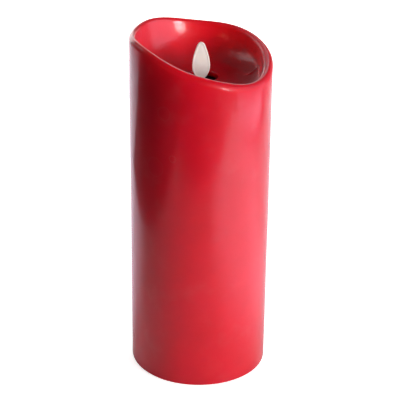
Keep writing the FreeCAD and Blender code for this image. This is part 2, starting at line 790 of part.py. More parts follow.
def lamp_housing_front():
    back = -led_rim_t - sink
    socket = led_rod(led_r + led_clear + led_socket_wall, -led_rim_t, led_socket_len + led_rim_t)
    foot_y = led_base_y + led_foot_front
    foot = block(-shelf_w / 2, shelf_w / 2, led_base_y - led_foot_rear, foot_y,
                 shelf_top_z - shelf_t / 2, led_base.z - led_rim_t)
    inside = rod(housing_r - housing_wall + sink, 0, liner_top_z)
    front = join([housing_half(-1), join([socket, foot]).common(inside)])
    leg_r = led_leg_r + led_leg_clear
    legs = [rod(leg_r, housing_z - over, led_base.z, x, led_bend.y) for x in led_leg_xs()]
    leg_x = led_leg_pitch / 2 + leg_r
    slot = block(-leg_x, leg_x, led_bend.y - leg_r, foot_y, shelf_top_z, led_base.z)
    bore = led_rod(led_r + led_clear, back, led_len)
    rim_room = led_rod(led_rim_r + led_clear, back, led_rim_t + led_clear - back)
    bores = joint_rods(screw_hole_r, -joint_boss_half - over, over)
    return take(front, [bore, rim_room, slot, seat_slot()] + legs + bores)


def lamp_housing_rear():
    return take(housing_half(1), joint_rods(pilot_r, -over, joint_boss_half - joint_pilot_floor))


def joint_screws():
    length = 2 * joint_boss_half - joint_pilot_floor - pilot_spare
    return [screw(screw_r, screw_head_r, length, V(x, -joint_boss_half, z), V(0, 1, 0))
            for x in (-joint_boss_x, joint_boss_x) for z in joint_boss_zs]


def mount_screws():
    length = ear_t + ear_post_h - pilot_spare
    return [screw(screw_r, screw_head_r, length, V(x, y, ear_z - ear_t), V(0, 0, 1)) for x, y in ear_points()]


# ---- LED -----------------------------------------------------------------------------------------
def led_lamp():
    dome = Part.makeSphere(led_r, led_base + led_dir * (led_len - led_r))
    return join([led_rod(led_r, 0, led_len - led_r), led_rod(led_rim_r, 0, led_rim_t), dome])


def led_legs():
    legs = []
    for x in led_leg_xs():
        start = led_base + V(x, 0, 0)
        bend = led_bend + V(x, 0, 0)
        down = V(x, bend.y, board_top_z)
        slant = Part.makeCylinder(led_leg_r, (bend - start).Length, start, bend - start)
        drop = rod(led_leg_r, down.z, bend.z, x, bend.y)
        legs.append(join([slant, drop, Part.makeSphere(led_leg_r, bend)]))
    return legs


# ---- control board -------------------------------------------------------------------------------
def board_pads():
    """Where leads from the base reach the board: name to (x, y)."""
    return {"on": (-4.0, -13.0), "timer": (4.0, -13.0), "minus": (15.0, 0.0)}


def board_box(x, y, half_x, half_y, depth, lift=0.0):
    """Box that hangs under the board, its top a little below the board with lift."""
    return block(x - half_x, x + half_x, y - half_y, y + half_y, board_z - depth, board_z - lift)


def control_board():
    disc = rod(board_r, board_z, board_top_z)
    posts = [board_post_point(side) for side in (-1, 1)]
    holes = [rod(screw_hole_r, board_z - over, board_top_z + over, x, y) for x, y in posts]
    edge = block(-board_r, board_r, board_r - board_flat, board_r, board_z - over, board_top_z + over)
    return take(disc, holes + [edge])


def board_screws():
    length = board_t + board_post_h - pilot_spare
    posts = [board_post_point(side) for side in (-1, 1)]
    return [screw(screw_r, screw_head_r, length, V(x, y, board_z), V(0, 0, 1)) for x, y in posts]


def board_chip():
    body = board_box(0, 0, chip_l / 2, chip_w / 2, chip_t, chip_lift)
    pins = []
    for k in range(chip_pins):
        x = (k - (chip_pins - 1) / 2) * chip_l / chip_pins
        pins.append(board_box(x, 0, pin_w / 2, chip_w / 2 + pin_len, chip_lift + pin_t))
    return join([body] + pins)


def board_capacitors():
    cans = []
    for x, y in capacitor_places:
        can = rod(capacitor_r, board_z - capacitor_h, board_z, x, y)
        groove = pipe(capacitor_r + over, capacitor_r - groove_depth, board_z - 3 * groove_w,
                      board_z - 2 * groove_w, x, y)
        cans.append(can.cut(groove))
    return cans


def board_choke():
    core = rod(choke_r, board_z - choke_h, board_z, *choke_place)
    waist = pipe(choke_r + over, choke_r - choke_waist, board_z - choke_h + choke_flange,
                 board_z - choke_flange, *choke_place)
    return core.cut(waist)


def board_resistors():
    return [board_box(x, y, resistor_l / 2, resistor_w / 2, resistor_t) for x, y in resistor_places]


# ---- wiring --------------------------------------------------------------------------------------
def terminal_top(index):
    return V(index * terminal_pitch, switch_y, switch_can_z + switch_can_h + terminal_h)


def up(point, rise):
    return V(point.x, point.y, point.z + rise)


def switch_leads():
    """Leads from the switch's ON and TIMER terminals up to the board."""
    leads = []
    for index, name in ((0, "on"), (1, "timer")):
        foot = terminal_top(index)
        hole = V(*lead_holes()[name], carrier_z)
        pad = V(*board_pads()[name], board_z)
        points = [foot, up(foot, 12), up(hole, -26), up(hole, 14), up(hole, 32) + V(2.5, 1.5, 0),
                  up(pad, -18), pad]
        leads.append(round_lead(points, lead_d))
    return leads


def battery_lead_plus():
    """Lead from the positive tab over the carrier and down to the switch's common terminal."""
    foot = terminal_top(-1)
    hole = V(*lead_holes()["common"], carrier_top_z)
    tab = V(-tab_x + lead_d / 2, 0, carrier_top_z + tab_h / 2)
    points = [tab, up(tab, 12), tab + V(5, -5, 22), up(hole, 26) + V(-4, 4, 0), up(hole, 12),
              up(hole, -12), up(foot, 20), foot]
    return round_lead(points, lead_d)


def battery_lead_minus():
    """Lead from the negative tab up to the board."""
    pad = V(*board_pads()["minus"], board_z)
    tab = V(tab_x - lead_d / 2, 0, carrier_top_z + tab_h / 2)
    points = [tab, up(tab, 16), tab + V(-4, 3, 36), up(pad, -16), pad]
    return round_lead(points, lead_d)


# ---- all pieces, one node each -------------------------------------------------------------------
NODES = {
    "wax_shell": wax_shell,
    "liner_tube": liner_tube,
    "base_housing": base_housing,
    "battery_door": battery_door,
    "door_contact": door_contact,
    "door_spring": door_spring,
    "cell_left": lambda: cell(-cell_x, cell_left_z, True),
    "cell_right": lambda: cell(cell_x, cell_right_z - cell_len, False),
    "contact_carrier": contact_carrier,
    "carrier_screws": carrier_screws,
    "positive_contact": lambda: top_contact(-1),
    "negative_contact": lambda: top_contact(1),
    "negative_spring": negative_spring,
    "switch_slider": switch_slider,
    "switch_lever": switch_lever,
    "switch_body": switch_body,
    "switch_screws": switch_screws,
    "flame_paddle": flame_paddle,
    "flame_magnet": flame_magnet,
    "pivot_wire": pivot_wire,
    "coil_bobbin": coil_bobbin,
    "coil_winding": coil_winding,
    "coil_leads": coil_leads,
    "lamp_housing_front": lamp_housing_front,
    "lamp_housing_rear": lamp_housing_rear,
    "joint_screws": joint_screws,
    "mount_screws": mount_screws,
    "led_lamp": led_lamp,
    "led_legs": led_legs,
    "control_board": control_board,
    "board_screws": board_screws,
    "board_chip": board_chip,
    "board_capacitors": board_capacitors,
    "board_choke": board_choke,
    "board_resistors": board_resistors,
    "switch_leads": switch_leads,
    "battery_lead_plus": battery_lead_plus,
    "battery_lead_minus": battery_lead_minus,
}


def main():
    os.makedirs("parts", exist_ok=True)
    for name, make in NODES.items():
        made = make()
        solids = made if isinstance(made, list) else [made]
        shape = solids[0] if len(solids) == 1 else Part.makeCompound(solids)
        shape.exportStep(f"parts/{name}.step")
        print(name, len(shape.Solids), round(shape.Volume, 1), shape.isValid())


main()
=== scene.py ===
import json
from math import cos, pi, radians, sin

import bpy
import numpy as np
from mathutils import Matrix, Vector


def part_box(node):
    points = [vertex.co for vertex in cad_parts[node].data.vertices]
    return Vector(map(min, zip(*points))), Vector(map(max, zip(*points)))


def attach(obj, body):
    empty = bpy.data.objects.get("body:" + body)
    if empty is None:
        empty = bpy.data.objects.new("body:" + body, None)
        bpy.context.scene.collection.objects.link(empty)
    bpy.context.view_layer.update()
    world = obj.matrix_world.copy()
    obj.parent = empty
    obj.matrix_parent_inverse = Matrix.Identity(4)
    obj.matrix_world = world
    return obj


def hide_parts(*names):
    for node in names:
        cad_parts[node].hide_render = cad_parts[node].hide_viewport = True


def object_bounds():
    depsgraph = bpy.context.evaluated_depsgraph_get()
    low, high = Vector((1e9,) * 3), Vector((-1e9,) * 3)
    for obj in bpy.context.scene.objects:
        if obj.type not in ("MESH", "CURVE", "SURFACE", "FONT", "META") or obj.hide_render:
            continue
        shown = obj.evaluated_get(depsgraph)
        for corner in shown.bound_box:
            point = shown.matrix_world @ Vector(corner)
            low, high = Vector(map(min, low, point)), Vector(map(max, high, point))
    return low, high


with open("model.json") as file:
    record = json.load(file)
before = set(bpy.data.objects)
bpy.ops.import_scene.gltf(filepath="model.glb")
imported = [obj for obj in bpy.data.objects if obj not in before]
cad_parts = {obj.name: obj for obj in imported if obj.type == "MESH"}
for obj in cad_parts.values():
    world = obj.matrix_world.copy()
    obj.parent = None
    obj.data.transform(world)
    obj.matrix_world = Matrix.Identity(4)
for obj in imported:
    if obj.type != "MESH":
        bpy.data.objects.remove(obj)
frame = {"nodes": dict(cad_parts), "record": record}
cad_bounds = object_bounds()
MM = 0.001


# ---- sizes, in millimetres ------------------------------------------------------------------------
def node_box(node):
    """Lowest and highest corner of a node at rest, as two arrays in millimetres."""
    low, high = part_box(node)
    return np.array(low) / MM, np.array(high) / MM


wax_low, wax_high = node_box("wax_shell")
liner_low, liner_high = node_box("liner_tube")

CANDLE_R = wax_high[0]
FOOT_Z = wax_low[2]
FOOT_EDGE_R = 0.9
BORE_R = liner_high[0] + 0.15     # a little clearance round the liner
UNDER_Z = liner_high[2]           # the wax rests on the liner's closed top
FLOOR_Z = UNDER_Z + 3.2           # bowl at the edge of the flame hole
HOLE_R = 10.4
HOLE_EDGE_R = 0.9

TOP_Z = wax_high[2] - 0.02        # highest point of the rim
# waves of the melted rim: count round the candle, height, angle of a crest in degrees
RIM_WAVES = [(1, 10.1, 147.4), (2, 2.6, 42.9), (3, 0.75, 17.9), (4, 0.5, 37.8), (5, 0.44, -4.6)]
RIM_T = 4.4
INNER_EDGE_R = 1.0
SHOULDER_SIDE = 285               # where the rim's outer shoulder runs furthest down, in degrees
SLUMP_SIDE = -12                  # where the rim sagged inwards as it melted, in degrees
SLUMP = 2.4
BOWL_MIDDLE_R = 6.0               # flat middle of the bowl, inside the flame hole
BOWL_CURVE = 2 / 3                # power that squares the bowl's corner
WALL_LEAN = 0.21                  # how far the bowl's wall leans in where it drops by one
SWELL_INSET = 2.4                 # the wall's swells fade out over this width of the rim and the foot

PIVOT_Z = 184.0
FLAME_T = 1.6
FLAME_FOOT = 10.4                 # ends of the flame over the pivot
FLAME_TIP = 34.5
# right half of the flame's outline: half width, height over the pivot
FLAME_HALF = [(2.0, 10.4), (2.7, 12.0), (4.24, 13.9), (5.2, 16.5), (5.53, 19.8), (5.35, 22.1),
              (4.98, 24.3), (4.4, 26.6), (3.6, 29.4), (2.0, 33.3)]
# outline of the stem and the tail: across, height over the pivot
TAIL = [(2.0, 11.2), (2.0, 4.6), (4.2, 2.6), (4.2, -11.5),
        (-4.2, -11.5), (-4.2, 2.6), (-2.0, 4.6), (-2.0, 11.2)]
PIVOT_HOLE_R = 0.9
PIVOT_HOLE_Z = -0.62              # the wire carries the top of this hole


# ---- surfaces -------------------------------------------------------------------------------------
def ramp(value, start, end):
    """Nothing up to the start, one from the end on and straight between. The end may be the lower one."""
    return np.clip((value - start) / (end - start), 0, 1)


def toward(theta, side):
    """One on a side given in degrees, falling as a cosine to nothing on the side across from it."""
    return (1 + np.cos(theta - np.radians(side))) / 2


def bend(start, end, corner, steps):
    """Points on a quarter ellipse from start to end, whose tangents meet at the corner."""
    t = np.linspace(0, pi / 2, steps)[:, None]
    middle = np.array(start) + np.array(end) - np.array(corner)
    return middle + (np.array(start) - middle) * np.cos(t) + (np.array(end) - middle) * np.sin(t)


def grid_faces(rows, cols, wrap):
    """Quads between the rows of a grid that closes round its columns, and over its rows if wrap is true."""
    i = np.arange(rows if wrap else rows - 1)[:, None]
    j = np.arange(cols)[None, :]
    below, beside = (i + 1) % rows, (j + 1) % cols
    corners = [i * cols + j, i * cols + beside, below * cols + beside, below * cols + j]
    return np.stack(corners, -1).reshape(-1, 4)


def cap_faces(first, pole, cols):
    """Triangles from the row of a grid that starts at the first point to its pole."""
    j = np.arange(cols)
    return np.stack([first + (j + 1) % cols, first + j, np.full(cols, pole)], -1)


def volume_of(points, faces):
    """Six times the signed volume inside triangles or quads: the sum of their corners' triple products."""
    a, b, c = (points[faces[:, k]] for k in range(3))
    total = np.einsum("ij,ij->", a, np.cross(b, c))
    if faces.shape[1] == 4:
        total += np.einsum("ij,ij->", a, np.cross(c, points[faces[:, 3]]))
    return total


def outward(points, face_sets):
    """The arrays of faces of one closed surface, all turned over if they point inwards."""
    if sum(volume_of(points, faces) for faces in face_sets) < 0:
        return [faces[:, ::-1] for faces in face_sets]
    return face_sets


def make_piece(name, points, face_sets, shares=None):
    """Mesh object from points in millimetres and arrays of faces, with its faces pointing outwards.
    Shares are named numbers, one for each point, that a finish can read."""
    face_sets = outward(points, face_sets)
    counts = np.concatenate([np.full(len(faces), faces.shape[1]) for faces in face_sets])
    loops = np.concatenate([faces.ravel() for faces in face_sets])
    mesh = bpy.data.meshes.new(name)
    mesh.vertices.add(len(points))
    mesh.vertices.foreach_set("co", (points * MM).astype(np.float32).ravel())
    mesh.loops.add(len(loops))
    mesh.loops.foreach_set("vertex_index", loops.astype(np.int32))
    mesh.polygons.add(len(counts))
    mesh.polygons.foreach_set("loop_start", (np.cumsum(counts) - counts).astype(np.int32))
    mesh.polygons.foreach_set("loop_total", counts.astype(np.int32))
    mesh.polygons.foreach_set("use_smooth", np.full(len(counts), True))
    mesh.update(calc_edges=True)
    mesh.validate()
    for key, values in (shares or {}).items():
        attribute = mesh.attributes.new(key, "FLOAT", "POINT")
        attribute.data.foreach_set("value", values.astype(np.float32).ravel())
    piece = bpy.data.objects.new(name, mesh)
    bpy.context.scene.collection.objects.link(piece)
    return piece


# ---- wax ------------------------------------------------------------------------------------------
def crest_height(theta):
    """Height of the rim round the candle: five cosines, each with its own count, size and top, under the
    highest point of the wax."""
    height = sum(size * np.cos(count * (theta - np.radians(top))) for count, size, top in RIM_WAVES)
    return height - height.max() + TOP_Z


def wall_dip(theta, z):
    """How far the poured wall lies inside its full radius: the sum of four long sine waves that wind round
    and up it, raised so that it is never negative."""
    swell = (np.sin(2 * theta + 0.017 * z + 0.6) + 0.7 * np.sin(5 * theta - 0.036 * z + 1.9)
             + 0.5 * np.sin(9 * theta + 0.055 * z + 4.0) + 0.35 * np.sin(14 * theta - 0.09 * z + 2.2))
    return 0.055 * (swell + 2.55)


def floor_ripple(x, y):
    """Rise of the bowl's skin: two low sine waves, and one small crease where the wax was pushed as it set.
    The crease is a bell curve of the distance to a slightly bowed line, and a half sine along it."""
    ripple = 0.10 * np.sin(0.21 * x + 0.09 * y + 0.5) + 0.07 * np.sin(0.16 * y - 0.25 * x + 2.0)
    start, along = np.array([28.0, -1.2]), np.array([7.4, 8.0])
    share = np.clip(((x - start[0]) * along[0] + (y - start[1]) * along[1]) / (along @ along), 0, 1)
    bow = 1.3 * np.sin(pi * share)
    gap = np.hypot(x - start[0] - share * along[0] - 0.73 * bow, y - start[1] - share * along[1] + 0.68 * bow)
    crease = 0.9 * np.sin(pi * np.clip(share, 0.04, 0.96)) * np.exp(-(gap / 0.9) ** 2)
    return ripple + crease


def wax_rings(theta):
    """Profile of the shell at each angle, as rings that run over the foot, up the wall, across the rim, down
    the bowl, through the flame hole and back down the bore. It gives their radius and height, the number of
    the first ring past the crest, and the radius inside the rim.
    The wall is straight, and the rim is two quarter ellipses under the crest. The bowl is a squared ellipse
    from the rim to the hole: its radius and its drop go with the two-thirds powers of sine and cosine, and
    its wall leans in as it drops. On its slumped side the rim is wider and its inner edge rounder."""
    crest = crest_height(theta)
    slumped = toward(theta, SLUMP_SIDE) ** 4
    shoulder = 2.3 + 2.9 * toward(theta, SHOULDER_SIDE) ** 3
    soft_edge = INNER_EDGE_R + 0.6 * (1 + np.sin(theta)) + SLUMP * slumped
    inner_r = CANDLE_R - RIM_T - SLUMP * slumped
    edge_r = inner_r + soft_edge
    rings = []

    def ring(radius, height):
        rings.append((np.broadcast_to(radius, theta.shape), np.broadcast_to(height, theta.shape)))

    foot_r, wall_z = CANDLE_R - FOOT_EDGE_R, FOOT_Z + FOOT_EDGE_R
    for radius in np.linspace(BORE_R, foot_r, 4):
        ring(radius, FOOT_Z)
    for radius, height in bend((foot_r, FOOT_Z), (CANDLE_R, wall_z), (CANDLE_R, FOOT_Z), 6)[1:]:
        ring(radius, height)
    for share in np.linspace(0, 1, 62)[1:-1]:
        ring(CANDLE_R, wall_z + share * (crest - shoulder - wall_z))
    for out, drop in bend((1.0, -1.0), (0.0, 0.0), (1.0, 0.0), 16):
        ring(edge_r + out * (CANDLE_R - edge_r), crest + drop * shoulder)
    edge_row = len(rings)
    for out, drop in bend((1.0, 0.0), (0.0, -1.0), (0.0, 0.0), 9)[1:]:
        ring(inner_r + out * soft_edge, crest + drop * soft_edge)

    spread = inner_r - BOWL_MIDDLE_R
    lip_r = HOLE_R + HOLE_EDGE_R
    turn = np.arcsin(((lip_r - BOWL_MIDDLE_R) / spread) ** (1 / BOWL_CURVE))
    for share in np.linspace(0, 1, 58)[1:] ** 1.25:
        t = pi / 2 - (pi / 2 - turn) * share
        drop = (crest - soft_edge - FLOOR_Z) * np.cos(t) ** BOWL_CURVE
        upright = BOWL_MIDDLE_R + spread * np.sin(t) ** BOWL_CURVE
        lean = WALL_LEAN * drop * (upright - lip_r) / (inner_r - lip_r)
        ring(upright - lean, crest - soft_edge - drop)
    lip_z = rings[-1][1]
    for radius, drop in bend((lip_r, 0), (HOLE_R, -HOLE_EDGE_R), (HOLE_R, 0), 6)[1:]:
        ring(radius, lip_z + drop)
    ring(HOLE_R, UNDER_Z + 1.0)
    for radius in np.linspace(HOLE_R, BORE_R, 5):
        ring(radius, UNDER_Z)
    for height in np.linspace(UNDER_Z, FOOT_Z, 7)[1:-1]:
        ring(BORE_R, height)
    return np.stack([r for r, z in rings]), np.stack([z for r, z in rings]), edge_row, inner_r


def make_wax_shell(cols=600):
    """Poured wax round the liner: the rings of its profile, closed on themselves, with swells in the outer
    wall and ripples in the bowl. Its shares say where a highlight is painted along the front rim's inner
    edge, where the shoulder is soft, where the bowl is, and where a pale sheen is painted on the slumped
    side's inner slope."""
    theta = np.linspace(0, 2 * pi, cols, endpoint=False)
    radius, height, edge_row, inner_r = wax_rings(theta)
    radius = radius - ramp(radius, CANDLE_R - SWELL_INSET, CANDLE_R) * wall_dip(theta, height)
    x, y = radius * np.cos(theta), radius * np.sin(theta)
    skin = ramp(radius, HOLE_R + 1.0, HOLE_R + 5.0) * ramp(radius, inner_r, inner_r - 4.0)
    height = height + skin * (height > UNDER_Z + 1.5) * floor_ripple(x, y)
    points = np.stack([x, y, height], -1).reshape(-1, 3)
    past_crest = np.arange(len(height))[:, None] - edge_row
    near = np.clip(0.5 - 0.9 * np.sin(theta - 0.35), 0, 1)
    shares = {
        # painted highlight: a pale pink line along the rim's inner edge, on its front side only
        "painted_rim_highlight": np.exp(-((past_crest + 0.5) / 1.9) ** 2) * near,
        "eased_rim": ramp(past_crest, -20, -15) * ramp(past_crest, 0, -3) * near,
        "bowl_skin": ramp(past_crest, 0, 8) * (height > UNDER_Z + 0.5),
        # painted reflection: a pale pink sheen on the bowl's inner slope on the slumped side
        "painted_slope_sheen": toward(theta, SLUMP_SIDE) ** 9 * ramp(past_crest, -2, 3) * ramp(past_crest, 40, 12),
    }
    return make_piece("wax_candle_shell", points, [grid_faces(len(height), cols, True)], shares)


# ---- flame ----------------------------------------------------------------------------------------
def half_width(height):
    """Half width of the flame at a height over its pivot: the square root of a polynomial of degree seven,
    fitted to the squares of the outline's half widths and nothing at the tip."""
    known = np.array(FLAME_HALF + [(0.0, FLAME_TIP)])
    square = np.polynomial.Polynomial.fit(known[:, 1], known[:, 0] ** 2, 7)
    return np.sqrt(np.maximum(square(height) - square(FLAME_TIP), 0))


def make_flame_blade(cols=96, rows=110):
    """Moulded flame: rings of a flat section stacked up its height, closed at the tip and inside the stem.
    Half its thickness depends on the distance to the outline: a round edge, a raised lip and a crowned
    face."""
    height = FLAME_FOOT + (FLAME_TIP - FLAME_FOOT) * np.sin(np.linspace(0, 1, rows) * pi / 2)
    turn = np.linspace(0, 2 * pi, cols, endpoint=False)
    across = -np.cos(turn)
    side = np.sign(np.sin(turn) + 1e-9)
    x = half_width(height)[:, None] * across[None, :]
    z = np.broadcast_to(height[:, None], x.shape)
    line_z = np.linspace(8.0, FLAME_TIP, 500)
    line_x = half_width(np.maximum(line_z, FLAME_FOOT))
    gap = np.empty_like(x)
    for i in range(rows):
        gap[i] = np.hypot(np.abs(x[i])[:, None] - line_x, z[i][:, None] - line_z).min(1)
    gap = np.where(np.abs(across) > 0.9999, 0, gap)
    round_edge = np.sqrt(np.clip(1 - (1 - ramp(gap, 0, 0.5)) ** 2, 0, 1))
    inside_lip = ramp(gap, 0.85, 1.30)
    inside_lip = inside_lip * inside_lip * (3 - 2 * inside_lip)
    crown = ramp(gap, 1.3, 4.3)
    y = side * (FLAME_T / 2 * round_edge - 0.24 * inside_lip + 0.12 * crown * (2 - crown))
    body = np.stack([x, y, z + PIVOT_Z], -1).reshape(-1, 3)
    foot = np.stack([x[0], y[0] * 0.9, z[0] + PIVOT_Z - 1.2], -1)
    poles = [[0, 0, PIVOT_Z + FLAME_FOOT - 2.0], [0, 0, PIVOT_Z + FLAME_TIP]]
    last = rows * cols
    faces = [grid_faces(rows + 1, cols, False), cap_faces(0, last + cols, cols),
             cap_faces(last, last + cols + 1, cols)[:, ::-1]]
    return np.concatenate([foot, body, poles]), faces


def outline_reach(angle, outline):
    """Distance from the middle to an outline along each angle, where its ray meets the outline's runs."""
    start = np.array(outline)
    run = np.roll(start, -1, 0) - start
    ray = np.stack([np.cos(angle), np.sin(angle)], -1)[:, None, :]
    cross = ray[..., 0] * run[:, 1] - ray[..., 1] * run[:, 0]
    safe = np.where(np.abs(cross) < 1e-9, 1e-9, cross)
    reach = (start[:, 0] * run[:, 1] - start[:, 1] * run[:, 0]) / safe
    place = (start[:, 0] * ray[..., 1] - start[:, 1] * ray[..., 0]) / safe
    return np.where((reach > 0) & (place >= -1e-6) & (place <= 1 + 1e-6), reach, np.inf).min(1)


def make_flame_tail(cols=360):
    """Flat tail round the pivot hole: a ring whose inner edge is the hole and whose outer edge is the
    outline, measured along rays from the hole's middle. Both edges are eased, and the ring is closed on
    itself."""
    angle = np.linspace(0, 2 * pi, cols, endpoint=False)
    reach = outline_reach(angle, [(x, z - PIVOT_HOLE_Z) for x, z in TAIL])
    half_t = FLAME_T / 2
    hole = np.full(cols, PIVOT_HOLE_R)
    hole_ease, edge_ease = 0.15, 0.2
    face = [(hole, half_t - hole_ease), (hole + hole_ease, half_t),
            (reach - edge_ease, half_t), (reach, half_t - edge_ease)]
    rings = face + [(radius, -y) for radius, y in reversed(face)]
    hole_z = PIVOT_Z + PIVOT_HOLE_Z
    points = [np.stack([radius * np.cos(angle), np.full(cols, y), radius * np.sin(angle) + hole_z], -1)
              for radius, y in rings]
    return np.concatenate(points), [grid_faces(len(rings), cols, True)]


def make_flame():
    """Blade and tail, two closed surfaces that share the stem, in one piece."""
    blade, blade_faces = make_flame_blade()
    tail, tail_faces = make_flame_tail()
    faces = outward(blade, blade_faces) + [f + len(blade) for f in outward(tail, tail_faces)]
    return make_piece("flame_blade_and_tail", np.concatenate([blade, tail]), faces)


# ---- finishes -------------------------------------------------------------------------------------
class Patterns:
    """A node tree, with short calls for the patterns that a finish or the studio's air is made of. Each call
    gives an output to link or to pass on."""

    def __init__(self, tree, place):
        self.tree = tree
        self.place = self.node("ShaderNodeTexCoord").outputs[place]

    def node(self, kind, values=(), **settings):
        """A new node, with numbers or links for its inputs."""
        made = self.tree.nodes.new(kind)
        for key, value in settings.items():
            setattr(made, key, value)
        for key, value in dict(values).items():
            if isinstance(value, bpy.types.NodeSocket):
                self.tree.links.new(value, made.inputs[key])
            else:
                made.inputs[key].default_value = value
        return made

    def axis(self, name):
        """One coordinate of the place."""
        return self.node("ShaderNodeSeparateXYZ", {0: self.place}).outputs[name]

    def stretched(self, x=1.0, y=1.0, z=1.0):
        """The place scaled along each axis, which draws a pattern out along an axis with a small scale."""
        return self.node("ShaderNodeMapping", {"Vector": self.place, "Scale": (x, y, z)}).outputs[0]

    def painted(self, name):
        """A share that the mesh carries on its points."""
        return self.node("ShaderNodeAttribute", attribute_name=name).outputs["Fac"]

    def looked_at(self):
        """One where it is seen straight or through a clear part, nothing where it lights or is reflected."""
        path = self.node("ShaderNodeLightPath").outputs
        return self.maths("MAXIMUM", path["Is Camera Ray"], path["Is Transmission Ray"])

    def maths(self, operation, a, b):
        return self.node("ShaderNodeMath", {0: a, 1: b}, operation=operation).outputs[0]

    def bands(self, low, high, value, to_low=0.0, to_high=1.0, smooth=False):
        """A value carried from one range to another, clamped."""
        ranges = {"Value": value, "From Min": low, "From Max": high, "To Min": to_low, "To Max": to_high}
        slope = "SMOOTHSTEP" if smooth else "LINEAR"
        return self.node("ShaderNodeMapRange", ranges, interpolation_type=slope).outputs[0]

    def noise(self, size_mm, detail, rough, place=None, warp=0.0):
        """Cloudy pattern whose blotches are about size_mm across."""
        values = {"Vector": place or self.place, "Scale": 1 / (size_mm * MM), "Detail": detail,
                  "Roughness": rough, "Distortion": warp}
        return self.node("ShaderNodeTexNoise", values).outputs[0]

    def clouds(self, size_mm, detail, rough, to_low=0.0, to_high=1.0, low=0.3, high=0.7, place=None):
        """Cloudy pattern carried from its own range, low to high, to another one."""
        return self.bands(low, high, self.noise(size_mm, detail, rough, place), to_low, to_high)

    def mix(self, share, first, second):
        """Colour between two others."""
        return self.node("ShaderNodeMix", {0: share, 6: first, 7: second}, data_type="RGBA").outputs[2]

    def toned(self, colour, other, share, strength):
        """Colour taken towards another by a share times a strength."""
        return self.mix(self.maths("MULTIPLY", share, strength), colour, other)

    def edges(self, radius_mm, low=0.02, high=0.25):
        """How near a sharp edge lies: the rounded normal's turn away from the true one."""
        rounded = self.node("ShaderNodeBevel", {"Radius": radius_mm * MM}, samples=4).outputs[0]
        true = self.node("ShaderNodeNewGeometry").outputs["True Normal"]
        likeness = self.node("ShaderNodeVectorMath", {0: rounded, 1: true}, operation="DOT_PRODUCT")
        return self.bands(low, high, self.maths("SUBTRACT", 1.0, likeness.outputs["Value"]))

    def bump(self, height, depth_mm, strength, below=None):
        """Relief of a given depth, over the relief below it."""
        values = {"Height": height, "Distance": depth_mm * MM, "Strength": strength}
        if below is not None:
            values["Normal"] = below
        return self.node("ShaderNodeBump", values).outputs[0]


class Finish(Patterns):
    """A material on one surface shader, with constants for some sockets and patterns for others."""

    def __init__(self, name, **constants):
        self.material = bpy.data.materials.new(name)
        self.material.use_nodes = True
        super().__init__(self.material.node_tree, "Object")
        self.shader = self.tree.nodes["Principled BSDF"]
        for socket, value in constants.items():
            self.shader.inputs[socket.replace("_", " ")].default_value = value

    def wear(self, socket, value):
        """A pattern linked to a socket of the shader."""
        self.tree.links.new(value, self.shader.inputs[socket])


def srgb(red, green, blue):
    """Linear colour from one written as 0 to 255 on a screen's scale."""
    def linear(v):
        v /= 255
        return v / 12.92 if v <= 0.04045 else ((v + 0.055) / 1.055) ** 2.4
    return (linear(red), linear(green), linear(blue), 1.0)


def scaled(colour, factor, lift=0.0):
    """A colour times a factor plus a lift, with no part of it over one."""
    return tuple(min(1.0, c * factor + lift) for c in colour[:3]) + (1.0,)


def thumb_ring(f, middle, radius_mm):
    """Share of a narrow uneven ring round a point: one on its radius, and nothing 0.9 mm inside it or 0.8 mm
    outside it."""
    gap = f.node("ShaderNodeVectorMath", {0: f.place, 1: middle}, operation="DISTANCE").outputs["Value"]
    gap = f.maths("ADD", gap, f.bands(0, 1, f.noise(4, 2, 0.5), -0.0006, 0.0006))
    inside = f.bands((radius_mm - 0.9) * MM, radius_mm * MM, gap, smooth=True)
    outside = f.bands((radius_mm + 0.8) * MM, radius_mm * MM, gap, smooth=True)
    return f.maths("MULTIPLY", inside, outside)


# small rings left on the wall by handling: middle and radius in millimetres, strength
THUMB_MARKS = [((-16.6, -41.2, 158.0), 2.1, 0.16), ((-21.8, -38.7, 186.0), 4.2, 0.09),
               ((-27.5, -34.9, 150.0), 6.0, 0.07), ((12.0, 42.8, 120.0), 3.0, 0.15),
               ((43.0, 11.0, 70.0), 4.0, 0.12)]


